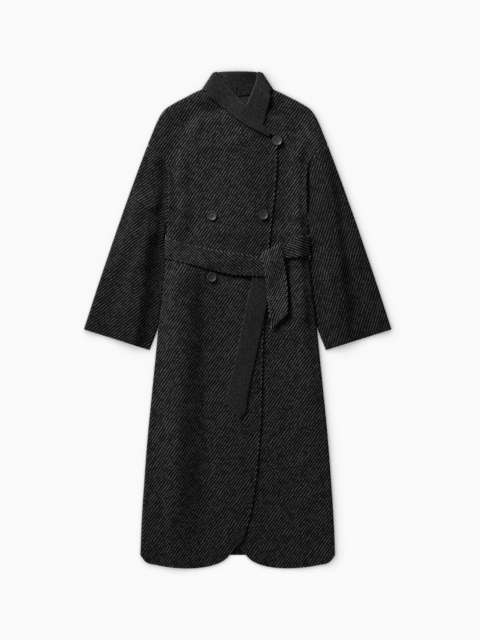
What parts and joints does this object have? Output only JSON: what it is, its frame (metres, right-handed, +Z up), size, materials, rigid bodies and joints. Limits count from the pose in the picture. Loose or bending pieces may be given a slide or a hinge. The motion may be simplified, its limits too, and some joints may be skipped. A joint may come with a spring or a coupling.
{
  "type": "belted double-breasted coat",
  "caption": "Long coat of double-faced wool twill with a wide rolled collar, overlapping buttoned fronts, wide sleeves and a knotted tie belt, laid flat on its back.",
  "frame": {"origin": "on the surface the coat lies on, under the middle of its bounding box", "axes": "+Z up from that surface, +Y from the hem to the collar, +X to the wearer's left"},
  "size_m": [0.774, 1.249, 0.0361],
  "materials": {
    "wool_twill": "black wool with a light grey twill line, matt, slightly hairy",
    "wool_felt": "reverse of the same double-faced cloth, plain charcoal felt, matt",
    "horn": "dark horn-like resin, half gloss"
  },
  "bodies": {
    "root": {"back": "wool_twill", "front_right": "wool_twill", "front_left": "wool_twill", "sleeve_right": "wool_twill", "sleeve_left": "wool_twill", "belt_back": "wool_twill", "belt_front_right": "wool_twill", "belt_front_left": "wool_twill", "belt_tail_short": "wool_twill", "collar_right": "wool_felt", "collar_left": "wool_felt", "belt_tail_long": "wool_felt", "button_top": "horn", "button_mid_right": "horn", "button_mid_left": "horn", "button_low_right": "horn", "button_low_left": "horn"}
  },
  "joints": []
}
